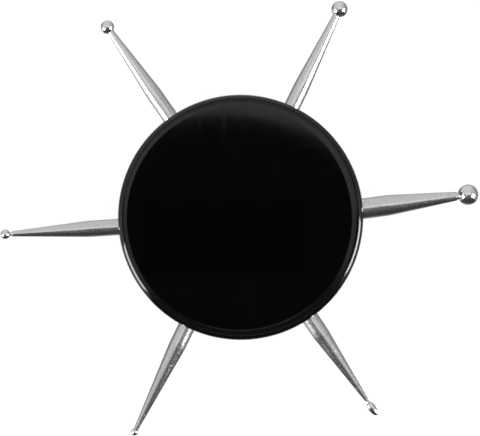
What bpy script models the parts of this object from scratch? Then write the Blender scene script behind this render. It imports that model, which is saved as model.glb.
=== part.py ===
"""Six-tip ball stylus: a round moulded puck that holds six plated steel styluses around its edge.

Five styluses end in balls of graded sizes and one ends in a teardrop. The origin is the centre of the puck's flat
underside. +Z runs up out of the black face and +X runs towards the largest ball. Units are metres.
"""

import math
from dataclasses import dataclass

import bmesh
import bpy

MM = 0.001

# Clearances between neighbouring pieces.
GAP = 0.3 * MM
SOCKET_CLEARANCE = 0.15 * MM
BRAZE_CLEARANCE = 0.05 * MM

# The puck.
PUCK_RADIUS = 25.0 * MM
PUCK_HEIGHT = 13.0 * MM
AXIS_HEIGHT = 6.2 * MM
CAVITY_RADIUS = 22.5 * MM
FLOOR_THICKNESS = 2.0 * MM
BASE_EDGE_RADIUS = 1.8 * MM
DECK_UNDERSIDE = 9.6 * MM
DECK_TOP = 11.0 * MM
LIP_RADIUS = 23.7 * MM
LIP_HEIGHT = 1.0 * MM

# The rim ring around the face disc.
RIM_INNER_RADIUS = 24.1 * MM
RIM_CREST_HEIGHT = 12.6 * MM
RIM_ROUND = 1.4 * MM

# The face disc: flat in the middle, with a crowned margin.
FACE_RADIUS = 23.85 * MM
FACE_UNDERSIDE = 11.2 * MM
FACE_FLAT_RADIUS = 22.5 * MM
FACE_CROWN_TILT = 15.5
PEG_RADIUS = 1.5 * MM
PEG_CIRCLE = 17.5 * MM
PEG_LENGTH = 2.2 * MM
PEG_BEARINGS = (95.0, 215.0, 335.0)

# The core inside the puck, and the saddles that carry the shanks at the wall.
CORE_RADIUS = 13.0 * MM
CORE_BORE_RADIUS = 2.5 * MM
CORE_EDGE = 0.6 * MM
SADDLE_INNER_RADIUS = 17.0 * MM
BASE_SADDLE_OUTER_RADIUS = 23.2 * MM
TOP_SADDLE_OUTER_RADIUS = 21.5 * MM
SADDLE_SIDE = 1.2 * MM
SADDLE_SETBACK = 0.15 * MM

# The screws that hold the shells together, driven from below.
SCREW_BEARINGS = {"screw_left": 155.0, "screw_front": 275.0, "screw_right": 35.0}
SCREW_CIRCLE = 18.0 * MM
SCREW_HEAD_RADIUS = 2.3 * MM
SCREW_HEAD_HEIGHT = 1.5 * MM
SCREW_HEAD_ROUND = 0.6 * MM
SCREW_RADIUS = 1.25 * MM
SCREW_LENGTH = 7.0 * MM
SCREW_POINT = 0.8 * MM
SCREW_SEAT_HEIGHT = 2.3 * MM
CROSS_LENGTH = 2.6 * MM
CROSS_WIDTH = 0.6 * MM
CROSS_DEPTH = 0.8 * MM
BOSS_RADIUS = 3.4 * MM

# The styluses.
SHAFT_INNER_END = 7.5 * MM
SHAFT_CHAMFER = 0.3 * MM
SPIGOT_LENGTH = 0.6
SPIGOT_RADIUS = 0.5
SHOULDER_SPREAD = 1.2 * MM

PUCK_SEGMENTS = 60
SHAFT_SEGMENTS = 20
TIP_SEGMENTS = 16
SMALL_SEGMENTS = 16
SHARP_ANGLE = math.radians(30.0)


@dataclass
class Stylus:
    """One stylus. Distances are from the puck's centre, angles are in degrees seen from above."""

    name: str
    bearing: float
    lean: float
    reach: float
    shank: float
    taper_start: float
    neck: float
    tip: float
    tip_length: float = 0.0
    collar_length: float = 0.0
    collar: float = 0.0


# The narrower brazed collars between a cone and its tip.
LARGEST_COLLAR = {"collar_length": 0.50 * MM, "collar": 1.50 * MM}
SMALL_COLLAR = {"collar_length": 0.55 * MM, "collar": 0.80 * MM}
TEARDROP_COLLAR = {"collar_length": 0.75 * MM, "collar": 0.72 * MM}

STYLUSES = (
    Stylus("largest", 5.7, 1.9, 47.1 * MM, 4.25 * MM, 30.4 * MM, 1.80 * MM, 4.25 * MM, **LARGEST_COLLAR),
    Stylus("large", 64.6, -0.6, 47.5 * MM, 3.30 * MM, 29.5 * MM, 1.50 * MM, 3.35 * MM),
    Stylus("medium", 125.0, -0.1, 47.75 * MM, 3.25 * MM, 31.2 * MM, 1.35 * MM, 2.80 * MM),
    Stylus("small", 184.1, -0.4, 48.6 * MM, 3.35 * MM, 31.4 * MM, 1.05 * MM, 2.00 * MM, **SMALL_COLLAR),
    Stylus("smallest", 243.7, 0.0, 49.3 * MM, 3.50 * MM, 29.5 * MM, 0.95 * MM, 1.50 * MM),
    Stylus(
        "teardrop",
        bearing=304.6,
        lean=0.0,
        reach=47.4 * MM,
        shank=3.50 * MM,
        taper_start=28.9 * MM,
        neck=0.75 * MM,
        tip=1.65 * MM,
        tip_length=3.27 * MM,
        **TEARDROP_COLLAR,
    ),
)


def clear_scene():
    for item in list(bpy.data.objects):
        bpy.data.objects.remove(item, do_unlink=True)


def add_collection(name):
    collection = bpy.data.collections.new(name)
    bpy.context.scene.collection.children.link(collection)
    return collection


def add_material(name, colour, roughness, metallic):
    material = bpy.data.materials.new(name)
    material.use_nodes = True
    shader = material.node_tree.nodes["Principled BSDF"]
    shader.inputs["Base Color"].default_value = (*colour, 1.0)
    shader.inputs["Roughness"].default_value = roughness
    shader.inputs["Metallic"].default_value = metallic
    return material


def add_piece(name, mesh, material):
    piece = bpy.data.objects.new(name, mesh)
    piece.data.materials.append(material)
    PARTS.objects.link(piece)
    return piece


def add_cutter(name, mesh):
    cutter = bpy.data.objects.new(name, mesh)
    cutter.hide_render = True
    cutter.display_type = "WIRE"
    CUTTERS.objects.link(cutter)
    return cutter


def polar(radius, bearing, height=0.0):
    angle = math.radians(bearing)
    return (radius * math.cos(angle), radius * math.sin(angle), height)


def arc(centre, radii, start, end, steps):
    """Points (r, z) along an elliptical arc, with angles in degrees from +r towards +z."""
    angles = [math.radians(start + (end - start) * step / steps) for step in range(steps + 1)]
    return [(centre[0] + radii[0] * math.cos(a), centre[1] + radii[1] * math.sin(a)) for a in angles]


def profile_mesh(name, points):
    """An open outline in the XZ plane, from the axis down the outer side and back to the axis."""
    mesh = bpy.data.meshes.new(name)
    edges = [(index, index + 1) for index in range(len(points) - 1)]
    mesh.from_pydata([(r, 0.0, z) for r, z in points], edges, [])
    return mesh


def turn(piece, segments):
    """Turns an object's outline about its own Z axis."""
    screw = piece.modifiers.new("turn", "SCREW")
    screw.axis = "Z"
    screw.steps = segments
    screw.render_steps = segments
    screw.use_merge_vertices = True
    screw.merge_threshold = 0.000001
    screw.use_normal_calculate = False


def cylinder_mesh(name, radius, low, high, segments):
    mesh = bpy.data.meshes.new(name)
    solid = bmesh.new()
    bmesh.ops.create_cone(
        solid, cap_ends=True, segments=segments, radius1=radius, radius2=radius, depth=high - low
    )
    bmesh.ops.translate(solid, verts=solid.verts, vec=(0.0, 0.0, (low + high) / 2))
    solid.to_mesh(mesh)
    solid.free()
    return mesh


def box_mesh(name, low, high):
    mesh = bpy.data.meshes.new(name)
    solid = bmesh.new()
    bmesh.ops.create_cube(solid, size=1.0)
    bmesh.ops.scale(solid, verts=solid.verts, vec=[b - a for a, b in zip(low, high)])
    bmesh.ops.translate(solid, verts=solid.verts, vec=[(a + b) / 2 for a, b in zip(low, high)])
    solid.to_mesh(mesh)
    solid.free()
    return mesh


def combine(piece, tool, operation):
    boolean = piece.modifiers.new(operation.lower(), "BOOLEAN")
    boolean.operation = operation
    boolean.solver = "EXACT"
    boolean.object = tool


def settle(piece):
    """Applies a piece's modifiers, then shades it smooth with its corners sharp."""
    bpy.context.view_layer.update()
    depsgraph = bpy.context.evaluated_depsgraph_get()
    mesh = bpy.data.meshes.new_from_object(piece.evaluated_get(depsgraph))
    piece.modifiers.clear()
    piece.data = mesh
    mesh.shade_smooth()
    mesh.set_sharp_from_angle(angle=SHARP_ANGLE)


def base_shell_profile():
    inner_height = AXIS_HEIGHT - GAP / 2
    edge_centre = (PUCK_RADIUS - BASE_EDGE_RADIUS, BASE_EDGE_RADIUS)
    edge = arc(edge_centre, (BASE_EDGE_RADIUS, BASE_EDGE_RADIUS), 0.0, -90.0, 5)
    return [
        (0.0, FLOOR_THICKNESS),
        (CAVITY_RADIUS, FLOOR_THICKNESS),
        (CAVITY_RADIUS, inner_height + LIP_HEIGHT),
        (LIP_RADIUS, inner_height + LIP_HEIGHT),
        (LIP_RADIUS, inner_height),
        (PUCK_RADIUS, inner_height),
        *edge,
        (0.0, 0.0),
    ]


def top_shell_profile():
    foot = AXIS_HEIGHT + GAP / 2
    rim_centre = (PUCK_RADIUS - RIM_ROUND, RIM_CREST_HEIGHT - RIM_ROUND)
    rim_start = math.degrees(math.acos((RIM_INNER_RADIUS - rim_centre[0]) / RIM_ROUND))
    rim = arc(rim_centre, (RIM_ROUND, RIM_ROUND), rim_start, 0.0, 5)
    return [
        (0.0, DECK_TOP),
        (RIM_INNER_RADIUS, DECK_TOP),
        *rim,
        (PUCK_RADIUS, foot),
        (LIP_RADIUS + GAP, foot),
        (LIP_RADIUS + GAP, foot + LIP_HEIGHT),
        (CAVITY_RADIUS, foot + LIP_HEIGHT),
        (CAVITY_RADIUS, DECK_UNDERSIDE),
        (0.0, DECK_UNDERSIDE),
    ]


def face_disc_profile():
    crown_radius = (FACE_RADIUS - FACE_FLAT_RADIUS) / math.sin(math.radians(FACE_CROWN_TILT))
    crown_centre = (FACE_FLAT_RADIUS, PUCK_HEIGHT - crown_radius)
    crown = arc(crown_centre, (crown_radius, crown_radius), 90.0, 90.0 - FACE_CROWN_TILT, 3)
    return [
        (0.0, PUCK_HEIGHT),
        *crown,
        (FACE_RADIUS, FACE_UNDERSIDE),
        (0.0, FACE_UNDERSIDE),
    ]


def shaft_profile(stylus):
    """The shaft's outline, with z measured outwards from the tip's centre."""
    shank = stylus.shank / 2
    neck = stylus.neck / 2
    seat = -neck_distance(stylus) - BRAZE_CLEARANCE
    inner_end = SHAFT_INNER_END - stylus.reach
    shoulder = stylus.taper_start - stylus.reach
    slope = (shank - neck) / (seat - shoulder)
    spigot_end = seat + SPIGOT_LENGTH * stylus.tip / 2
    cone_end = seat - stylus.collar_length
    collar = []
    if stylus.collar_length:
        collar = [(stylus.collar / 2, seat), (stylus.collar / 2, cone_end)]
    return [
        (0.0, spigot_end),
        (SPIGOT_RADIUS * neck, spigot_end),
        (SPIGOT_RADIUS * neck, seat),
        *collar,
        (neck + slope * stylus.collar_length, cone_end),
        (shank - slope * SHOULDER_SPREAD, shoulder + SHOULDER_SPREAD),
        (shank - slope * SHOULDER_SPREAD / 4, shoulder),
        (shank, shoulder - SHOULDER_SPREAD),
        (shank, inner_end + SHAFT_CHAMFER),
        (shank - SHAFT_CHAMFER, inner_end),
        (0.0, inner_end),
    ]


def neck_distance(stylus):
    """From the tip's widest section back to the flat where the shaft's neck meets it."""
    radius = stylus.tip / 2
    depth = math.sqrt(radius**2 - (stylus.neck / 2) ** 2)
    return depth * teardrop_stretch(stylus)[0] / radius


def teardrop_stretch(stylus):
    """How far the tip reaches behind and ahead of its widest section: its radius each way on a ball."""
    radius = stylus.tip / 2
    if not stylus.tip_length:
        return radius, radius
    behind = 0.38 * stylus.tip_length
    return behind, stylus.tip_length - behind


def tip_profile(stylus):
    """The tip's outline about its centre, with the blind bore that the shaft's spigot fills."""
    radius = stylus.tip / 2
    behind, ahead = teardrop_stretch(stylus)
    seat_angle = -math.degrees(math.acos(stylus.neck / 2 / radius))
    bore = SPIGOT_RADIUS * stylus.neck / 2 + BRAZE_CLEARANCE
    seat = -neck_distance(stylus)
    bore_end = seat + SPIGOT_LENGTH * radius + BRAZE_CLEARANCE
    return [
        *arc((0.0, 0.0), (radius, ahead), 90.0, 0.0, 5),
        *arc((0.0, 0.0), (radius, behind), 0.0, seat_angle, 4)[1:],
        (bore, seat),
        (bore, bore_end),
        (0.0, bore_end),
    ]


def screw_profile():
    head_centre = (SCREW_HEAD_RADIUS - SCREW_HEAD_ROUND, SCREW_HEAD_ROUND)
    head = arc(head_centre, (SCREW_HEAD_ROUND, SCREW_HEAD_ROUND), 0.0, -90.0, 3)
    top = SCREW_HEAD_HEIGHT + SCREW_LENGTH
    return [
        (0.0, top),
        (SCREW_RADIUS - SCREW_POINT / 2, top),
        (SCREW_RADIUS, top - SCREW_POINT),
        (SCREW_RADIUS, SCREW_HEAD_HEIGHT),
        (SCREW_HEAD_RADIUS, SCREW_HEAD_HEIGHT),
        *head,
        (0.0, 0.0),
    ]


def make_stylus_frame(stylus):
    """An empty at the tip's centre, whose local Z runs outwards along the shaft."""
    frame = bpy.data.objects.new(f"stylus_{stylus.name}", None)
    frame.location = polar(stylus.reach, stylus.bearing, AXIS_HEIGHT)
    frame.rotation_euler = (0.0, math.radians(90.0), math.radians(stylus.bearing + stylus.lean))
    PARTS.objects.link(frame)
    return frame


def make_stylus(stylus, frame, steel, bright_steel):
    shaft = add_piece(f"shaft_{stylus.name}", profile_mesh("shaft", shaft_profile(stylus)), steel)
    turn(shaft, SHAFT_SEGMENTS)
    shaft.parent = frame
    tip = add_piece(f"tip_{stylus.name}", profile_mesh("tip", tip_profile(stylus)), bright_steel)
    turn(tip, TIP_SEGMENTS)
    tip.parent = frame
    return shaft, tip


def make_channel(stylus, frame):
    """The cutter for a shank's socket in the core and its channel through the shells."""
    low = SHAFT_INNER_END - GAP - stylus.reach
    high = PUCK_RADIUS + 2 * MM - stylus.reach
    radius = stylus.shank / 2 + SOCKET_CLEARANCE
    mesh = cylinder_mesh("channel", radius, low, high, SHAFT_SEGMENTS)
    channel = add_cutter(f"channel_{stylus.name}", mesh)
    channel.parent = frame
    return channel


def make_saddle(stylus, frame, low, high, outer_radius):
    """A block inside the wall that carries a shank, between two heights of the puck."""
    half_width = stylus.shank / 2 + SADDLE_SIDE
    # The stylus frame's local -X points up, so heights change sign.
    inner_corner = (AXIS_HEIGHT - high, -half_width, SADDLE_INNER_RADIUS - stylus.reach)
    outer_corner = (AXIS_HEIGHT - low, half_width, outer_radius - stylus.reach)
    saddle = add_cutter(f"saddle_{stylus.name}", box_mesh("saddle", inner_corner, outer_corner))
    saddle.parent = frame
    return saddle


def place(item, radius, bearing, height=0.0):
    item.location = polar(radius, bearing, height)
    return item


def make_base_shell(material, saddles, channels):
    shell = add_piece("base_shell", profile_mesh("base_shell", base_shell_profile()), material)
    turn(shell, PUCK_SEGMENTS)
    for saddle in saddles:
        combine(shell, saddle, "UNION")
    split = AXIS_HEIGHT - GAP / 2
    boss_mesh = cylinder_mesh("boss", BOSS_RADIUS, FLOOR_THICKNESS / 2, split, SMALL_SEGMENTS)
    seat_mesh = cylinder_mesh(
        "seat", SCREW_HEAD_RADIUS + GAP, -GAP, SCREW_SEAT_HEIGHT, SMALL_SEGMENTS
    )
    hole_mesh = cylinder_mesh("hole", SCREW_RADIUS + GAP, 0.0, AXIS_HEIGHT, SMALL_SEGMENTS)
    for bearing in SCREW_BEARINGS.values():
        boss = place(add_cutter("base_boss", boss_mesh), SCREW_CIRCLE, bearing)
        seat = place(add_cutter("screw_seat", seat_mesh), SCREW_CIRCLE, bearing)
        hole = place(add_cutter("screw_hole", hole_mesh), SCREW_CIRCLE, bearing)
        combine(shell, boss, "UNION")
        combine(shell, seat, "DIFFERENCE")
        combine(shell, hole, "DIFFERENCE")
    for channel in channels:
        combine(shell, channel, "DIFFERENCE")
    return shell


def make_top_shell(material, saddles, channels):
    shell = add_piece("top_shell", profile_mesh("top_shell", top_shell_profile()), material)
    turn(shell, PUCK_SEGMENTS)
    for saddle in saddles:
        combine(shell, saddle, "UNION")
    split = AXIS_HEIGHT + GAP / 2
    deck_middle = (DECK_UNDERSIDE + DECK_TOP) / 2
    boss_mesh = cylinder_mesh("boss", BOSS_RADIUS, split, deck_middle, SMALL_SEGMENTS)
    pilot_mesh = cylinder_mesh(
        "pilot", SCREW_RADIUS + SOCKET_CLEARANCE, 0.0, DECK_UNDERSIDE, SMALL_SEGMENTS
    )
    for bearing in SCREW_BEARINGS.values():
        boss = place(add_cutter("top_boss", boss_mesh), SCREW_CIRCLE, bearing)
        pilot = place(add_cutter("pilot", pilot_mesh), SCREW_CIRCLE, bearing)
        combine(shell, boss, "UNION")
        combine(shell, pilot, "DIFFERENCE")
    peg_hole_mesh = cylinder_mesh(
        "peg_hole", PEG_RADIUS + GAP, DECK_UNDERSIDE - MM, DECK_TOP + MM, SMALL_SEGMENTS
    )
    for bearing in PEG_BEARINGS:
        peg_hole = place(add_cutter("peg_hole", peg_hole_mesh), PEG_CIRCLE, bearing)
        combine(shell, peg_hole, "DIFFERENCE")
    for channel in channels:
        combine(shell, channel, "DIFFERENCE")
    return shell


def make_face_disc(material):
    disc = add_piece("face_disc", profile_mesh("face_disc", face_disc_profile()), material)
    turn(disc, PUCK_SEGMENTS)
    peg_mesh = cylinder_mesh(
        "peg", PEG_RADIUS, FACE_UNDERSIDE - PEG_LENGTH, FACE_UNDERSIDE + GAP, SMALL_SEGMENTS
    )
    for bearing in PEG_BEARINGS:
        peg = place(add_cutter("peg", peg_mesh), PEG_CIRCLE, bearing)
        combine(disc, peg, "UNION")
    return disc


def make_hub_core(material, channels):
    low = FLOOR_THICKNESS + GAP
    high = DECK_UNDERSIDE - GAP
    outline = [
        (CORE_BORE_RADIUS, high),
        (CORE_RADIUS - CORE_EDGE, high),
        (CORE_RADIUS, high - CORE_EDGE),
        (CORE_RADIUS, low + CORE_EDGE),
        (CORE_RADIUS - CORE_EDGE, low),
        (CORE_BORE_RADIUS, low),
        (CORE_BORE_RADIUS, high),
    ]
    core = add_piece("hub_core", profile_mesh("hub_core", outline), material)
    turn(core, PUCK_SEGMENTS // 2)
    for channel in channels:
        combine(core, channel, "DIFFERENCE")
    return core


def make_screw(name, bearing, material):
    screw = add_piece(name, profile_mesh(name, screw_profile()), material)
    turn(screw, SMALL_SEGMENTS)
    place(screw, SCREW_CIRCLE, bearing, SCREW_SEAT_HEIGHT - GAP - SCREW_HEAD_HEIGHT)
    half_length = CROSS_LENGTH / 2
    half_width = CROSS_WIDTH / 2
    slots = (
        box_mesh("slot", (-half_length, -half_width, -MM), (half_length, half_width, CROSS_DEPTH)),
        box_mesh("slot", (-half_width, -half_length, -MM), (half_width, half_length, CROSS_DEPTH)),
    )
    for mesh in slots:
        slot = add_cutter(f"{name}_slot", mesh)
        slot.parent = screw
        combine(screw, slot, "DIFFERENCE")
    return screw


def build():
    gloss_black = add_material("gloss_black_plastic", (0.006, 0.006, 0.007), 0.06, 0.0)
    shell_black = add_material("black_plastic", (0.010, 0.010, 0.011), 0.22, 0.0)
    core_grey = add_material("core_plastic", (0.30, 0.30, 0.31), 0.55, 0.0)
    steel = add_material("plated_steel", (0.66, 0.66, 0.67), 0.20, 1.0)
    bright_steel = add_material("polished_steel", (0.78, 0.78, 0.79), 0.07, 1.0)
    screw_steel = add_material("zinc_plated_steel", (0.60, 0.60, 0.58), 0.35, 1.0)

    frames = [make_stylus_frame(stylus) for stylus in STYLUSES]
    channels = [make_channel(stylus, frame) for stylus, frame in zip(STYLUSES, frames)]
    base_heights = (FLOOR_THICKNESS / 2, AXIS_HEIGHT - GAP / 2 - SADDLE_SETBACK)
    top_heights = (AXIS_HEIGHT + GAP / 2 + SADDLE_SETBACK, DECK_UNDERSIDE + GAP)
    base_saddles = []
    top_saddles = []
    for stylus, frame in zip(STYLUSES, frames):
        base_saddles.append(make_saddle(stylus, frame, *base_heights, BASE_SADDLE_OUTER_RADIUS))
        top_saddles.append(make_saddle(stylus, frame, *top_heights, TOP_SADDLE_OUTER_RADIUS))

    pieces = [
        make_base_shell(shell_black, base_saddles, channels),
        make_top_shell(shell_black, top_saddles, channels),
        make_face_disc(gloss_black),
        make_hub_core(core_grey, channels),
    ]
    for stylus, frame in zip(STYLUSES, frames):
        pieces.extend(make_stylus(stylus, frame, steel, bright_steel))
    for name, bearing in SCREW_BEARINGS.items():
        pieces.append(make_screw(name, bearing, screw_steel))
    for piece in pieces:
        settle(piece)


clear_scene()
PARTS = add_collection("six_tip_ball_stylus")
CUTTERS = add_collection("cutters")
build()
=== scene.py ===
"""Looks of the six-tip ball stylus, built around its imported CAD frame.

A glossy black puck holds six plated steel styluses. The five balls and the teardrop are mirror polished, the shafts
carry a faint turned and plated grain, and three zinc-plated screws close the puck from below.
"""

import math
from dataclasses import dataclass

import bmesh
import bpy
from mathutils import Matrix, Vector


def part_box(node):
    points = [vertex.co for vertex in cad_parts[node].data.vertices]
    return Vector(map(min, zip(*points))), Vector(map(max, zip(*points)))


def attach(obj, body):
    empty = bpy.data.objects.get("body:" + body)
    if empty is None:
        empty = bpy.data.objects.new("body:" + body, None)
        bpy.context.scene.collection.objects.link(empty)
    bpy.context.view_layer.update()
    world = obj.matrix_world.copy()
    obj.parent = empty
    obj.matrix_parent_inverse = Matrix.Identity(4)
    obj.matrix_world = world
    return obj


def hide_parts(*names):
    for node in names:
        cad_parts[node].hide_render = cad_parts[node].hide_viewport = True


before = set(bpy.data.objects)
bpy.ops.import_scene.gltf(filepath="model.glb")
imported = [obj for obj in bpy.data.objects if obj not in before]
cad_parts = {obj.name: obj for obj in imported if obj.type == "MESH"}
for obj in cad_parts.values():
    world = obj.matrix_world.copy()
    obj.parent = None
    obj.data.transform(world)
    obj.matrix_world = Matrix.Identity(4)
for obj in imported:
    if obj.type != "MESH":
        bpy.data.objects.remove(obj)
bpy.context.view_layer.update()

MM = 0.001
MICRON = 0.000001

# The puck, as in the CAD.
PUCK_RADIUS = 25.0 * MM
PUCK_HEIGHT = 13.0 * MM
AXIS_HEIGHT = 6.2 * MM
CAVITY_RADIUS = 22.5 * MM
FLOOR_THICKNESS = 2.0 * MM
BASE_EDGE_RADIUS = 1.8 * MM
DECK_UNDERSIDE = 9.6 * MM
DECK_TOP = 11.0 * MM
LIP_RADIUS = 23.7 * MM
LIP_HEIGHT = 1.0 * MM
PARTING_GAP = 0.10 * MM
PARTING_ROUND = 0.12 * MM
LIP_GAP = 0.3 * MM

RIM_INNER_RADIUS = 24.15 * MM
RIM_CREST_HEIGHT = 12.6 * MM
RIM_ROUND = 1.42 * MM

FACE_RADIUS = 23.98 * MM
FACE_UNDERSIDE = 11.2 * MM
FACE_FLAT_RADIUS = 22.85 * MM
FACE_CROWN_TILT = 15.5
FACE_SHIFT = 0.08 * MM
FACE_SHIFT_BEARING = 190.0
CROWN_SHIFT = 0.20 * MM
CROWN_SHIFT_BEARING = 180.0
PEG_RADIUS = 1.5 * MM
PEG_GAP = 0.3 * MM
PEG_CIRCLE = 17.5 * MM
PEG_LENGTH = 2.2 * MM
PEG_BEARINGS = (95.0, 215.0, 335.0)

# The screws that close the puck from below.
SCREW_BEARINGS = {"screw_left": 155.0, "screw_front": 275.0, "screw_right": 35.0}
SCREW_CIRCLE = 18.0 * MM
SCREW_SEAT_RADIUS = 2.6 * MM
SCREW_SEAT_HEIGHT = 2.3 * MM
SCREW_HEAD_RADIUS = 2.3 * MM
SCREW_HEAD_HEIGHT = 1.5 * MM
SCREW_HEAD_ROUND = 0.6 * MM
SCREW_RADIUS = 1.25 * MM
SCREW_LENGTH = 7.0 * MM
SCREW_GAP = 0.3 * MM
CROSS_LENGTH = 2.6 * MM
CROSS_WIDTH = 0.6 * MM
CROSS_DEPTH = 0.8 * MM
SEAT_CHAMFER = 0.2 * MM

# The styluses.
SHAFT_INNER_END = 7.5 * MM
SHAFT_CHAMFER = 0.3 * MM
BORE_CLEARANCE = 0.05 * MM
BORE_CHAMFER = 0.22 * MM
SPIGOT_LENGTH = 0.6
SPIGOT_RADIUS = 0.5
BRAZE_GAP = 0.02 * MM
TEARDROP_BULGE = 0.9

PUCK_SEGMENTS = 360
SHAFT_SEGMENTS = 96
TIP_SEGMENTS = 96
SHARP_ANGLE = math.radians(35.0)


@dataclass
class Stylus:
    """One stylus. Distances are from the puck's centre, angles are in degrees seen from above."""

    name: str
    bearing: float
    lean: float
    reach: float
    shank: float
    taper_start: float
    neck: float
    tip: float
    tip_length: float = 0.0
    collar_length: float = 0.0
    collar: float = 0.0


STYLUSES = (
    Stylus("largest", 5.7, 1.9, 47.02 * MM, 4.25 * MM, 30.4 * MM, 1.80 * MM, 4.25 * MM, 0.0, 0.50 * MM, 1.50 * MM),
    Stylus("large", 64.6, -0.6, 47.44 * MM, 3.30 * MM, 29.5 * MM, 1.50 * MM, 3.35 * MM),
    Stylus("medium", 125.0, -0.1, 47.78 * MM, 3.25 * MM, 31.2 * MM, 1.35 * MM, 2.80 * MM),
    Stylus("small", 184.1, -0.4, 48.55 * MM, 3.35 * MM, 31.4 * MM, 1.05 * MM, 2.00 * MM, 0.0, 0.55 * MM, 0.80 * MM),
    Stylus("smallest", 243.7, 0.0, 49.24 * MM, 3.50 * MM, 29.5 * MM, 0.95 * MM, 1.50 * MM),
    Stylus("teardrop", 304.6, 0.0, 47.4 * MM, 3.50 * MM, 28.9 * MM, 0.75 * MM, 1.65 * MM, 3.27 * MM, 0.75 * MM, 0.72 * MM),
)


# ---------------------------------------------------------------- shape helpers


def arc(centre, radii, start, end, steps):
    """Points (r, z) along an elliptical arc, with angles in degrees from +r towards +z."""
    angles = [math.radians(start + (end - start) * step / steps) for step in range(steps + 1)]
    return [(centre[0] + radii[0] * math.cos(a), centre[1] + radii[1] * math.sin(a)) for a in angles]


def line(start, end, steps):
    """Points from start to just before end, so that long walls are cut into rows."""
    return [
        (start[0] + (end[0] - start[0]) * step / steps, start[1] + (end[1] - start[1]) * step / steps)
        for step in range(steps)
    ]


def lathe(name, outline, segments):
    """A closed body turned from an outline (r, z) about Z; the outline runs from the axis to the axis."""
    mesh = bpy.data.meshes.new(name)
    solid = bmesh.new()
    points = [solid.verts.new((max(r, 0.0), 0.0, z)) for r, z in outline]
    edges = [solid.edges.new(pair) for pair in zip(points, points[1:])]
    bmesh.ops.spin(
        solid,
        geom=points + edges,
        cent=(0.0, 0.0, 0.0),
        axis=(0.0, 0.0, 1.0),
        angle=math.tau,
        steps=segments,
        use_merge=True,
    )
    bmesh.ops.remove_doubles(solid, verts=solid.verts, dist=0.5 * MICRON)
    bmesh.ops.recalc_face_normals(solid, faces=solid.faces)
    solid.to_mesh(mesh)
    solid.free()
    return mesh


def cylinder(name, radius, low, high, segments):
    return lathe(name, [(0.0, high), (radius, high), (radius, low), (0.0, low)], segments)


def add_object(name, mesh, matrix=None):
    item = bpy.data.objects.new(name, mesh)
    bpy.context.scene.collection.objects.link(item)
    if matrix is not None:
        item.matrix_world = matrix
    return item


def finish_shape(item, cutters=(), additions=()):
    """Adds and cuts, then bakes the modifiers and the place into the mesh, smooth with its corners sharp."""
    tools = [("UNION", tool) for tool in additions] + [("DIFFERENCE", tool) for tool in cutters]
    for operation, tool in tools:
        cut = item.modifiers.new("cut", "BOOLEAN")
        cut.operation = operation
        cut.solver = "EXACT"
        cut.object = tool
    bpy.context.view_layer.update()
    depsgraph = bpy.context.evaluated_depsgraph_get()
    mesh = bpy.data.meshes.new_from_object(item.evaluated_get(depsgraph))
    item.modifiers.clear()
    item.data = mesh
    mesh.transform(item.matrix_world)
    item.matrix_world = Matrix.Identity(4)
    mesh.shade_smooth()
    mesh.set_sharp_from_angle(angle=SHARP_ANGLE)
    for operation, tool in tools:
        bpy.data.objects.remove(tool, do_unlink=True)


def polar(radius, bearing, height=0.0):
    angle = math.radians(bearing)
    return Vector((radius * math.cos(angle), radius * math.sin(angle), height))


def stylus_matrix(stylus):
    """The tip's centre, with local Z outwards along the shaft and local X down."""
    turn = Matrix.Rotation(math.radians(stylus.bearing + stylus.lean), 4, "Z")
    tilt = Matrix.Rotation(math.radians(90.0), 4, "Y")
    return Matrix.Translation(polar(stylus.reach, stylus.bearing, AXIS_HEIGHT)) @ turn @ tilt


def check_place(item, node):
    """A piece that stands for a CAD node has that node's box, to within a fifth of a millimetre or so."""
    low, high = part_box(node)
    for axis in range(3):
        values = [vert.co[axis] for vert in item.data.vertices]
        if max(abs(min(values) - low[axis]), abs(max(values) - high[axis])) > 0.25 * MM:
            raise ValueError(f"{item.name} isn't where {node} is")


def stand_for(item, node, material):
    check_place(item, node)
    item.data.materials.clear()
    item.data.materials.append(material)
    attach(item, "root")
    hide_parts(node)
    return item


# ---------------------------------------------------------------- material helpers


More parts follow.
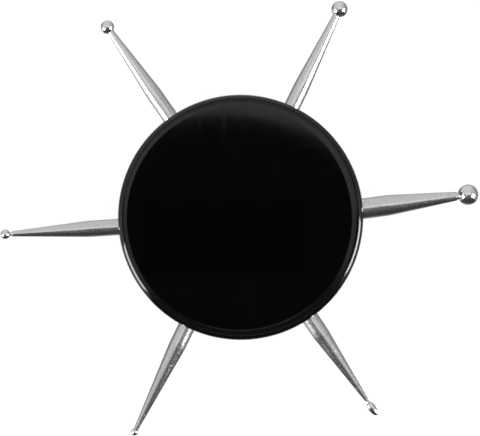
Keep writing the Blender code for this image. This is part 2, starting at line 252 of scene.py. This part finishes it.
class Sheet:
    """Builds a node tree by plain expressions. Each method returns an output socket."""

    def __init__(self, tree):
        self.tree = tree

    def node(self, kind, **settings):
        made = self.tree.nodes.new(kind)
        for key, value in settings.items():
            setattr(made, key, value)
        return made

    def feed(self, socket, value):
        if isinstance(value, bpy.types.NodeSocket):
            self.tree.links.new(value, socket)
        else:
            socket.default_value = value

    def math(self, operation, *values, clamp=False):
        made = self.node("ShaderNodeMath", operation=operation, use_clamp=clamp)
        for socket, value in zip(made.inputs, values):
            self.feed(socket, value)
        return made.outputs[0]

    def add(self, a, b):
        return self.math("ADD", a, b)

    def sub(self, a, b):
        return self.math("SUBTRACT", a, b)

    def mul(self, a, b):
        return self.math("MULTIPLY", a, b)

    def ramp(self, value, low, high, start=0.0, end=1.0):
        """A smooth step of value from start at low to end at high."""
        made = self.node("ShaderNodeMapRange", interpolation_type="SMOOTHSTEP")
        for name, number in (("From Min", low), ("From Max", high), ("To Min", start), ("To Max", end)):
            self.feed(made.inputs[name], number)
        self.feed(made.inputs["Value"], value)
        return made.outputs[0]

    def mix(self, factor, a, b):
        """A number part of the way from a to b."""
        made = self.node("ShaderNodeMix", data_type="FLOAT")
        self.feed(made.inputs[0], factor)
        self.feed(made.inputs[2], a)
        self.feed(made.inputs[3], b)
        return made.outputs[0]

    def colour_mix(self, factor, a, b):
        made = self.node("ShaderNodeMix", data_type="RGBA")
        self.feed(made.inputs[0], factor)
        self.feed(made.inputs[6], a)
        self.feed(made.inputs[7], b)
        return made.outputs[2]

    def noise(self, vector, scale, detail=2.0, roughness=0.5, stretch=None):
        if stretch is not None:
            mapping = self.node("ShaderNodeMapping")
            self.feed(mapping.inputs["Vector"], vector)
            mapping.inputs["Scale"].default_value = stretch
            vector = mapping.outputs[0]
        made = self.node("ShaderNodeTexNoise")
        self.feed(made.inputs["Vector"], vector)
        made.inputs["Scale"].default_value = scale
        made.inputs["Detail"].default_value = detail
        made.inputs["Roughness"].default_value = roughness
        return made.outputs["Fac"]

    def bump(self, height, distance, strength=1.0, normal=None):
        made = self.node("ShaderNodeBump")
        made.inputs["Strength"].default_value = strength
        made.inputs["Distance"].default_value = distance
        self.feed(made.inputs["Height"], height)
        if normal is not None:
            self.feed(made.inputs["Normal"], normal)
        return made.outputs[0]


def new_material(name, metallic, ior=1.5):
    material = bpy.data.materials.new(name)
    material.use_nodes = True
    shader = material.node_tree.nodes["Principled BSDF"]
    shader.inputs["Metallic"].default_value = metallic
    shader.inputs["IOR"].default_value = ior
    sheet = Sheet(material.node_tree)
    place = sheet.node("ShaderNodeTexCoord").outputs["Object"]
    return material, shader, sheet, place


def grey(level, tint=1.0):
    return (level, level, level * tint, 1.0)


def gloss_black(name, base, roughness, scratch, ior):
    """Polished black moulding: faint waviness, hairline rubs and a little dust."""
    material, shader, sheet, place = new_material(name, 0.0, ior)
    dust = sheet.ramp(sheet.noise(place, 1800.0, 2.0), 0.70, 0.80)
    cloud = sheet.ramp(sheet.noise(place, 120.0, 4.0), 0.40, 0.72)
    shade = sheet.colour_mix(cloud, grey(base), grey(base * 1.5))
    shade = sheet.colour_mix(sheet.mul(dust, 0.5), shade, grey(base * 6.0))
    sheet.feed(shader.inputs["Base Color"], shade)
    rub = sheet.ramp(sheet.noise(place, 900.0, 3.0, stretch=(1.0, 0.08, 1.0)), 0.55, 0.75)
    rub_across = sheet.ramp(sheet.noise(place, 800.0, 3.0, stretch=(0.1, 1.0, 1.0)), 0.58, 0.78)
    rubbed = sheet.math("MAXIMUM", rub, rub_across)
    sheet.feed(shader.inputs["Roughness"], sheet.mix(rubbed, roughness, roughness + scratch))
    wave = sheet.noise(place, 260.0, 1.0)
    normal = sheet.bump(wave, 1.2 * MICRON)
    sheet.feed(shader.inputs["Normal"], normal)
    return material


def moulded_grey(name):
    """The core's plain moulding, with a fine matt grain."""
    material, shader, sheet, place = new_material(name, 0.0)
    cloud = sheet.noise(place, 300.0, 4.0, 0.6)
    sheet.feed(shader.inputs["Base Color"], sheet.colour_mix(cloud, grey(0.24, 1.02), grey(0.34, 1.02)))
    sheet.feed(shader.inputs["Roughness"], sheet.mix(cloud, 0.45, 0.62))
    sheet.feed(shader.inputs["Normal"], sheet.bump(sheet.noise(place, 4200.0, 2.0), 12.0 * MICRON))
    return material


def plated_shaft(name, direction):
    """Plated steel over a turned surface: fine rings round the shaft, with etched specks between them."""
    material, shader, sheet, place = new_material(name, 1.0)
    mapping = sheet.node("ShaderNodeMapping")
    sheet.feed(mapping.inputs["Vector"], place)
    mapping.inputs["Rotation"].default_value = (0.0, 0.0, -direction)
    along = mapping.outputs[0]
    rings = sheet.noise(along, 3600.0, 2.0, 0.6, stretch=(1.0, 0.30, 0.30))
    fine = sheet.noise(along, 5200.0, 2.0, 0.6, stretch=(1.0, 0.55, 0.55))
    cloud = sheet.noise(along, 500.0, 3.0, 0.5, stretch=(0.5, 1.0, 1.0))
    etched = sheet.ramp(sheet.add(fine, sheet.mul(cloud, 0.35)), 0.64, 0.84)
    shade = sheet.colour_mix(sheet.ramp(rings, 0.35, 0.65), grey(0.61, 1.01), grey(0.69, 1.01))
    shade = sheet.colour_mix(sheet.ramp(cloud, 0.45, 0.75, 0.0, 0.35), shade, grey(0.60, 1.0))
    sheet.feed(shader.inputs["Base Color"], shade)
    sheet.feed(shader.inputs["Roughness"], sheet.mix(etched, 0.12, 0.31))
    normal = sheet.bump(rings, 1.2 * MICRON)
    normal = sheet.bump(cloud, 2.0 * MICRON, normal=normal)
    sheet.feed(shader.inputs["Normal"], normal)
    return material


def polished_tip(name):
    """Mirror-polished steel with faint polishing marks."""
    material, shader, sheet, place = new_material(name, 1.0)
    cloud = sheet.noise(place, 900.0, 3.0, 0.55)
    sheet.feed(shader.inputs["Base Color"], sheet.colour_mix(cloud, grey(0.70, 1.01), grey(0.80, 1.01)))
    marks = sheet.ramp(sheet.noise(place, 3000.0, 3.0, stretch=(1.0, 0.2, 1.0)), 0.5, 0.8)
    sheet.feed(shader.inputs["Roughness"], sheet.mix(marks, 0.05, 0.10))
    sheet.feed(shader.inputs["Normal"], sheet.bump(sheet.noise(place, 1500.0, 2.0), 3.0 * MICRON))
    return material


def zinc_screw(name):
    """Zinc-plated steel, slightly yellowed and rolled."""
    material, shader, sheet, place = new_material(name, 1.0)
    cloud = sheet.noise(place, 1400.0, 4.0, 0.6)
    shade = sheet.colour_mix(sheet.ramp(cloud, 0.3, 0.7), (0.50, 0.50, 0.47, 1.0), (0.68, 0.68, 0.66, 1.0))
    sheet.feed(shader.inputs["Base Color"], shade)
    sheet.feed(shader.inputs["Roughness"], sheet.mix(cloud, 0.26, 0.42))
    sheet.feed(shader.inputs["Normal"], sheet.bump(sheet.noise(place, 5200.0, 3.0), 5.0 * MICRON))
    return material


# ---------------------------------------------------------------- the puck


def channel_cutters():
    """Bores for the shanks, with a small flare where they leave the wall."""
    cutters = []
    for stylus in STYLUSES:
        low = SHAFT_INNER_END - 2 * SCREW_GAP - stylus.reach
        wall = PUCK_RADIUS + 0.02 * MM - stylus.reach
        radius = stylus.shank / 2 + BORE_CLEARANCE
        outline = [
            (0.0, wall + 2 * MM),
            (radius + BORE_CHAMFER + 2 * MM, wall + 2 * MM),
            (radius + BORE_CHAMFER, wall),
            (radius, wall - BORE_CHAMFER),
            (radius, low),
            (0.0, low),
        ]
        cutters.append(add_object("channel", lathe("channel", outline, 128), stylus_matrix(stylus)))
    return cutters


def base_shell(material):
    top = AXIS_HEIGHT - PARTING_GAP / 2
    edge_centre = (PUCK_RADIUS - BASE_EDGE_RADIUS, BASE_EDGE_RADIUS)
    outline = [
        (0.0, FLOOR_THICKNESS),
        (CAVITY_RADIUS, FLOOR_THICKNESS),
        (CAVITY_RADIUS, AXIS_HEIGHT + LIP_HEIGHT - LIP_GAP / 2),
        (LIP_RADIUS, AXIS_HEIGHT + LIP_HEIGHT - LIP_GAP / 2),
        (LIP_RADIUS, top),
        *arc((PUCK_RADIUS - PARTING_ROUND, top - PARTING_ROUND), (PARTING_ROUND,) * 2, 90.0, 0.0, 4),
        *line((PUCK_RADIUS, top - 2 * PARTING_ROUND), (PUCK_RADIUS, BASE_EDGE_RADIUS), 10),
        *arc(edge_centre, (BASE_EDGE_RADIUS, BASE_EDGE_RADIUS), 0.0, -90.0, 14),
        *line((SCREW_CIRCLE + 4.0 * MM, 0.0), (2.0 * MM, 0.0), 12),
        (2.0 * MM, 0.0),
        (0.0, 0.0),
    ]
    shell = add_object("base_shell_moulding", lathe("base_shell", outline, PUCK_SEGMENTS))
    cutters = channel_cutters()
    for bearing in SCREW_BEARINGS.values():
        flip = Matrix.Translation(polar(SCREW_CIRCLE, bearing)) @ Matrix.Rotation(math.pi, 4, "X")
        seat = lathe(
            "seat",
            [
                (0.0, MM),
                (SCREW_SEAT_RADIUS + SEAT_CHAMFER + MM, MM),
                (SCREW_SEAT_RADIUS + SEAT_CHAMFER, 0.0),
                (SCREW_SEAT_RADIUS, -SEAT_CHAMFER),
                (SCREW_SEAT_RADIUS, -FLOOR_THICKNESS + 0.2 * MM),
                (SCREW_RADIUS + SCREW_GAP, -FLOOR_THICKNESS + 0.2 * MM),
                (SCREW_RADIUS + SCREW_GAP, -FLOOR_THICKNESS - MM),
                (0.0, -FLOOR_THICKNESS - MM),
            ],
            96,
        )
        cutters.append(add_object("seat", seat, flip))
    finish_shape(shell, cutters)
    return stand_for(shell, "base_shell", material)


def top_shell(material):
    foot = AXIS_HEIGHT + PARTING_GAP / 2
    rim_centre = (PUCK_RADIUS - RIM_ROUND, RIM_CREST_HEIGHT - RIM_ROUND)
    rim_start = math.degrees(math.acos((RIM_INNER_RADIUS - rim_centre[0]) / RIM_ROUND))
    foot_centre = (PUCK_RADIUS - PARTING_ROUND, foot + PARTING_ROUND)
    outline = [
        (0.0, DECK_TOP),
        (RIM_INNER_RADIUS, DECK_TOP),
        *arc(rim_centre, (RIM_ROUND, RIM_ROUND), rim_start, 0.0, 26),
        *line((PUCK_RADIUS, rim_centre[1] - 0.4 * MM), (PUCK_RADIUS, foot + 2 * PARTING_ROUND), 10),
        *arc(foot_centre, (PARTING_ROUND,) * 2, 0.0, -90.0, 4),
        (LIP_RADIUS + LIP_GAP, foot),
        (LIP_RADIUS + LIP_GAP, foot + LIP_HEIGHT),
        (CAVITY_RADIUS, foot + LIP_HEIGHT),
        (CAVITY_RADIUS, DECK_UNDERSIDE),
        (0.0, DECK_UNDERSIDE),
    ]
    shell = add_object("top_shell_moulding", lathe("top_shell", outline, PUCK_SEGMENTS))
    cutters = channel_cutters()
    for bearing in PEG_BEARINGS:
        hole = cylinder("peg_hole", PEG_RADIUS + PEG_GAP, DECK_UNDERSIDE - MM, DECK_TOP + MM, 64)
        cutters.append(add_object("peg_hole", hole, Matrix.Translation(polar(PEG_CIRCLE, bearing))))
    finish_shape(shell, cutters)
    return stand_for(shell, "top_shell", material)


def face_disc(material):
    crown_radius = (FACE_RADIUS - FACE_FLAT_RADIUS) / math.sin(math.radians(FACE_CROWN_TILT))
    crown_centre = (FACE_FLAT_RADIUS, PUCK_HEIGHT - crown_radius)
    crown = arc(crown_centre, (crown_radius, crown_radius), 90.0, 90.0 - FACE_CROWN_TILT, 16)
    outline = [
        (0.0, PUCK_HEIGHT),
        *[(FACE_FLAT_RADIUS * step / 8, PUCK_HEIGHT) for step in range(1, 8)],
        (FACE_FLAT_RADIUS - 0.03 * MM, PUCK_HEIGHT),
        *crown,
        (FACE_RADIUS, crown[-1][1] - 0.02 * MM),
        (FACE_RADIUS, FACE_UNDERSIDE),
        (0.0, FACE_UNDERSIDE),
    ]
    mesh = lathe("face_disc", outline, PUCK_SEGMENTS)
    # The crown was polished unevenly: it is wider on the right than on the left.
    crown_width = FACE_RADIUS - FACE_FLAT_RADIUS
    for vert in mesh.vertices:
        if vert.co.z > crown[-1][1] - 0.01 * MM:
            inward = min(1.0, (FACE_RADIUS - vert.co.xy.length) / crown_width)
            vert.co += polar(CROWN_SHIFT * inward, CROWN_SHIFT_BEARING)
    mesh.transform(Matrix.Translation(polar(FACE_SHIFT, FACE_SHIFT_BEARING)))
    disc = add_object("face_disc_moulding", mesh)
    pegs = []
    for bearing in PEG_BEARINGS:
        peg = cylinder("peg", PEG_RADIUS, FACE_UNDERSIDE - PEG_LENGTH, FACE_UNDERSIDE + PEG_GAP, 64)
        pegs.append(add_object("peg", peg, Matrix.Translation(polar(PEG_CIRCLE, bearing))))
    finish_shape(disc, additions=pegs)
    return stand_for(disc, "face_disc", material)


def screw(name, bearing, material):
    base = SCREW_SEAT_HEIGHT - SCREW_GAP - SCREW_HEAD_HEIGHT
    head_centre = (SCREW_HEAD_RADIUS - SCREW_HEAD_ROUND, SCREW_HEAD_ROUND)
    top = SCREW_HEAD_HEIGHT + SCREW_LENGTH
    outline = [
        (0.0, top),
        (SCREW_RADIUS - 0.4 * MM, top),
        (SCREW_RADIUS, top - 0.8 * MM),
        (SCREW_RADIUS, SCREW_HEAD_HEIGHT + 0.2 * MM),
        (SCREW_RADIUS + 0.1 * MM, SCREW_HEAD_HEIGHT),
        (SCREW_HEAD_RADIUS - 0.08 * MM, SCREW_HEAD_HEIGHT),
        (SCREW_HEAD_RADIUS, SCREW_HEAD_HEIGHT - 0.08 * MM),
        *arc(head_centre, (SCREW_HEAD_ROUND, SCREW_HEAD_ROUND), 0.0, -90.0, 8),
        (0.0, 0.0),
    ]
    body = add_object(f"{name}_turned", lathe(name, outline, 96), Matrix.Translation(polar(SCREW_CIRCLE, bearing, base)))
    cutters = []
    for turn in (0.0, 90.0):
        mesh = bpy.data.meshes.new("slot")
        solid = bmesh.new()
        bmesh.ops.create_cube(solid, size=1.0)
        for vert in solid.verts:
            narrow = 0.72 if vert.co.z > 0 else 1.0
            vert.co.x *= CROSS_LENGTH * narrow
            vert.co.y *= CROSS_WIDTH * narrow
            vert.co.z = CROSS_DEPTH if vert.co.z > 0 else -0.1 * MM
        solid.to_mesh(mesh)
        solid.free()
        spin = Matrix.Rotation(math.radians(turn + bearing), 4, "Z")
        cutters.append(add_object("slot", mesh, Matrix.Translation(polar(SCREW_CIRCLE, bearing, base)) @ spin))
    finish_shape(body, cutters)
    return stand_for(body, name, material)


# ---------------------------------------------------------------- the styluses


def neck_distance(stylus):
    """From the tip's widest section back to the flat where the shaft's neck meets it."""
    radius = stylus.tip / 2
    depth = math.sqrt(radius**2 - (stylus.neck / 2) ** 2)
    return depth * tip_stretch(stylus)[0] / radius


def tip_stretch(stylus):
    radius = stylus.tip / 2
    if not stylus.tip_length:
        return radius, radius
    behind = 0.38 * stylus.tip_length
    return behind, stylus.tip_length - behind


def shaft(stylus, material):
    """Shank, a soft shoulder and a long cone down to the neck."""
    shank = stylus.shank / 2
    neck = stylus.neck / 2
    seat = -neck_distance(stylus) - BRAZE_GAP
    inner_end = SHAFT_INNER_END - stylus.reach
    shoulder = stylus.taper_start - stylus.reach
    slope = (shank - neck) / (seat - shoulder)
    blend = 0.9 * MM
    spigot_end = seat + SPIGOT_LENGTH * stylus.tip / 2
    spigot = SPIGOT_RADIUS * neck
    outline = [(0.0, spigot_end), (spigot, spigot_end)]
    cone_end = seat - stylus.collar_length
    if stylus.collar_length:
        # A narrower brazed collar between the cone and the tip.
        collar = stylus.collar / 2
        shelf = cone_end + 0.06 * MM
        outline += [(spigot, seat), (1.12 * collar, seat), (1.02 * collar, seat - 0.1 * MM), (collar, shelf + 0.1 * MM)]
        outline += [(1.04 * collar, shelf), (shank - slope * (cone_end - shoulder) - 0.06 * MM, shelf)]
    else:
        outline.append((spigot, seat))
    steps = 24
    cone_start = shoulder + blend
    for step in range(steps):
        z = cone_end + (cone_start - cone_end) * step / steps
        outline.append((shank - slope * (z - shoulder), z))
    for step in range(9):
        # A parabola joins the cone to the shank without a kink.
        z = cone_start - 2 * blend * step / 8
        lift = (z - shoulder + blend) ** 2 / (4 * blend)
        outline.append((shank - slope * lift, z))
    for z in (shoulder - 3 * blend, shoulder - 6 * blend, inner_end + 8 * MM, inner_end + 4 * MM):
        outline.append((shank, z))
    outline += [(shank, inner_end + SHAFT_CHAMFER), (shank - SHAFT_CHAMFER, inner_end), (0.0, inner_end)]
    piece = add_object(f"shaft_{stylus.name}_turned", lathe("shaft", outline, SHAFT_SEGMENTS), stylus_matrix(stylus))
    finish_shape(piece)
    return stand_for(piece, f"shaft_{stylus.name}", material)


def tip(stylus, material):
    """The ball or teardrop, with a small flat where the neck is brazed on."""
    radius = stylus.tip / 2
    behind, ahead = tip_stretch(stylus)
    seat_angle = -math.degrees(math.acos(stylus.neck / 2 / radius))
    bore = SPIGOT_RADIUS * stylus.neck / 2 + BRAZE_GAP
    seat = -neck_distance(stylus)
    bore_end = seat + SPIGOT_LENGTH * radius + BRAZE_GAP
    bulge = TEARDROP_BULGE if stylus.tip_length else 1.0
    outline = [
        *[(r, z * (1 - (r / radius) ** 2) ** (bulge / 2 - 0.5)) for r, z in arc((0.0, 0.0), (radius, ahead), 90.0, 0.0, 32)[:-1]],
        (radius, 0.0),
        *arc((0.0, 0.0), (radius, behind), 0.0, seat_angle, 24)[1:],
        (bore, seat),
        (bore, bore_end),
        (0.0, bore_end),
    ]
    piece = add_object(f"tip_{stylus.name}_polished", lathe("tip", outline, TIP_SEGMENTS), stylus_matrix(stylus))
    finish_shape(piece)
    return stand_for(piece, f"tip_{stylus.name}", material)


# ---------------------------------------------------------------- the studio


def studio_world():
    """A pale studio: a big soft grey side behind, a dark side in front and a plain pale backdrop to the camera."""
    world = bpy.data.worlds.new("studio")
    world.use_nodes = True
    bpy.context.scene.world = world
    tree = world.node_tree
    background = tree.nodes["Background"]
    sheet = Sheet(tree)
    direction = sheet.node("ShaderNodeTexCoord").outputs["Generated"]
    split = sheet.node("ShaderNodeSeparateXYZ")
    sheet.feed(split.inputs[0], direction)
    x, y, z = split.outputs
    # Degrees off the zenith, spread along X and Y.
    polar_angle = sheet.mul(sheet.math("ARCCOSINE", z), math.degrees(1.0))
    flat = sheet.math("SQRT", sheet.add(sheet.mul(x, x), sheet.mul(y, y)))
    scale = sheet.math("DIVIDE", polar_angle, sheet.math("MAXIMUM", flat, 0.0001))
    u = sheet.mul(x, scale)
    v = sheet.mul(y, scale)

    minus_v = sheet.mul(v, -1.0)
    reach = sheet.math("SQRT", sheet.add(sheet.mul(u, u), sheet.mul(v, v)))

    def patch(centre, half, soft):
        """1 inside a rectangle of directions, easing to 0 across its soft edge."""
        across = sheet.mul(sheet.math("ABSOLUTE", sheet.sub(u, centre[0])), 1.0 / half[0])
        along = sheet.mul(sheet.math("ABSOLUTE", sheet.sub(v, centre[1])), 1.0 / half[1])
        return sheet.ramp(sheet.math("MAXIMUM", across, along), 1.0 - soft, 1.0 + soft, 1.0, 0.0)

    def oval(centre, half, soft):
        """1 inside an ellipse of directions, easing to 0 across its soft edge."""
        across = sheet.mul(sheet.sub(u, centre[0]), 1.0 / half[0])
        along = sheet.mul(sheet.sub(v, centre[1]), 1.0 / half[1])
        distance = sheet.math("SQRT", sheet.add(sheet.mul(across, across), sheet.mul(along, along)))
        return sheet.ramp(distance, 1.0 - soft, 1.0 + soft, 1.0, 0.0)

    # The lit side falls off towards both corners, more slowly low on the left.
    right = sheet.ramp(u, 5.0, 105.0, 0.80, 0.36)
    left_end = sheet.ramp(v, -30.0, 30.0, 0.75, 0.30)
    left = sheet.mix(sheet.ramp(u, -112.0, -60.0, 1.0, 0.0), 0.76, left_end)
    light = sheet.math("MINIMUM", right, left)
    light = sheet.mul(light, sheet.ramp(reach, 105.0, 150.0, 1.0, 0.5))
    # White walls beside the two softboxes, and a pale strip just past the zenith.
    light = sheet.mix(oval((-70.0, -24.0), (23.0, 34.0), 0.18), light, 1.0)
    light = sheet.mix(oval((62.0, -15.0), (19.0, 29.0), 0.16), light, 1.22)
    light = sheet.mix(patch((-2.0, 9.0), (20.0, 8.0), 0.35), light, 1.05)
    # Light stands between them.
    light = sheet.mix(patch((-38.0, -3.0), (8.0, 8.0), 0.3), light, 0.15)
    light = sheet.mix(patch((29.0, -6.0), (7.0, 7.0), 0.3), light, 0.12)
    light = sheet.mix(patch((35.0, 31.0), (6.0, 5.0), 0.5), light, 0.34)
    # The front is a dark wedge that opens from the zenith, with the floor's near edge showing low down.
    side = sheet.math("MAXIMUM", sheet.mul(u, -0.93), sheet.mul(u, 0.70))
    opening = sheet.math("DIVIDE", sheet.add(v, side), sheet.math("MAXIMUM", sheet.math("MINIMUM", reach, 33.0), 1.0))
    wedge = sheet.ramp(opening, -0.14, 0.44, 1.0, 0.0)
    front = sheet.ramp(minus_v, 8.0, 70.0, 0.16, 0.055)
    front = sheet.mix(sheet.ramp(minus_v, 108.0, 128.0), front, 0.26)
    light = sheet.mix(wedge, light, front)
    # The overhead patch is dark up to a little past the zenith, and darkest where the camera hangs.
    bow = sheet.add(u, 0.35)
    edge = sheet.sub(v, sheet.sub(2.245, sheet.mul(sheet.mul(bow, bow), 0.12)))
    overhead = sheet.ramp(edge, -0.13, 0.13, 1.0, 0.0)
    overhead = sheet.mul(overhead, patch((-8.0, 0.0), (20.0, 10.0), 0.30))
    dim = sheet.ramp(edge, -0.40, -0.18, 0.040, 0.10)
    dim = sheet.mix(patch((-0.35, -0.45), (1.75, 0.75), 0.12), dim, 0.015)
    dim = sheet.mix(sheet.ramp(reach, 3.0, 6.0), dim, 0.16)
    light = sheet.mix(overhead, light, dim)
    light = sheet.mix(patch((1.0, -5.6), (2.8, 1.6), 0.3), light, 0.9)
    seen = sheet.node("ShaderNodeLightPath").outputs["Is Camera Ray"]
    light = sheet.mix(seen, light, 1.0)
    sheet.feed(background.inputs["Strength"], light)
    background.inputs["Color"].default_value = (1.0, 1.0, 1.0, 1.0)


def softbox(name, azimuth, elevation, distance, width, height, power):
    data = bpy.data.lights.new(name, "AREA")
    data.shape = "RECTANGLE"
    data.size = width
    data.size_y = height
    data.energy = power
    light = bpy.data.objects.new(name, data)
    bpy.context.scene.collection.objects.link(light)
    a = math.radians(azimuth)
    e = math.radians(elevation)
    place = Vector((math.cos(a) * math.cos(e), math.sin(a) * math.cos(e), math.sin(e))) * distance
    light.location = place
    light.rotation_mode = "QUATERNION"
    light.rotation_quaternion = place.to_track_quat("Z", "Y")
    light.visible_camera = False
    return light


def studio_floor():
    """A plain pale floor, bright enough of its own to leave hardly any shadow. From below it isn't seen."""
    mesh = bpy.data.meshes.new("floor")
    solid = bmesh.new()
    bmesh.ops.create_grid(solid, x_segments=2, y_segments=2, size=6.0)
    solid.to_mesh(mesh)
    solid.free()
    floor = add_object("floor", mesh, Matrix.Translation((0.0, 0.0, -0.02 * MM)))
    material = bpy.data.materials.new("floor")
    material.use_nodes = True
    tree = material.node_tree
    shader = tree.nodes["Principled BSDF"]
    shader.inputs["Base Color"].default_value = (0.25, 0.25, 0.25, 1.0)
    shader.inputs["Roughness"].default_value = 1.0
    shader.inputs["Specular IOR Level"].default_value = 0.0
    shader.inputs["Emission Color"].default_value = (1.0, 1.0, 1.0, 1.0)
    shader.inputs["Emission Strength"].default_value = 0.86
    sheet = Sheet(tree)
    clear = sheet.node("ShaderNodeBsdfTransparent")
    choose = sheet.node("ShaderNodeMixShader")
    sheet.feed(choose.inputs[0], sheet.node("ShaderNodeNewGeometry").outputs["Backfacing"])
    tree.links.new(shader.outputs[0], choose.inputs[1])
    tree.links.new(clear.outputs[0], choose.inputs[2])
    tree.links.new(choose.outputs[0], tree.nodes["Material Output"].inputs["Surface"])
    mesh.materials.append(material)
    floor.visible_glossy = False


def camera():
    data = bpy.data.cameras.new("camera")
    data.lens = 200.0
    data.sensor_width = 36.0
    data.clip_start = 0.01
    data.clip_end = 20.0
    item = bpy.data.objects.new("camera", data)
    bpy.context.scene.collection.objects.link(item)
    item.location = (-0.13 * MM, -0.13 * MM, 0.5549)
    bpy.context.scene.camera = item


# ---------------------------------------------------------------- the whole


def build():
    gloss = gloss_black("gloss_black_face", 0.0005, 0.025, 0.02, 1.42)
    shell = gloss_black("gloss_black_shell", 0.0006, 0.06, 0.05, 1.5)
    base_shell(shell)
    top_shell(shell)
    face_disc(gloss)
    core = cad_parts["hub_core"]
    core.data.materials.clear()
    core.data.materials.append(moulded_grey("moulded_grey_core"))
    polished = polished_tip("polished_steel_tip")
    for stylus in STYLUSES:
        direction = math.radians(stylus.bearing + stylus.lean)
        shaft(stylus, plated_shaft(f"plated_shaft_{stylus.name}", direction))
        tip(stylus, polished)
    zinc = zinc_screw("zinc_plated_screw")
    for name, bearing in SCREW_BEARINGS.items():
        screw(name, bearing, zinc)


build()
studio_world()
studio_floor()
softbox("softbox_right", 345.5, 27.5, 0.45, 0.190, 0.220, 2.15)
softbox("softbox_left", 205.5, 23.0, 0.33, 0.128, 0.160, 0.80)
camera()
bpy.context.scene.view_settings.view_transform = "Standard"
bpy.context.scene.cycles.filter_width = 1.8
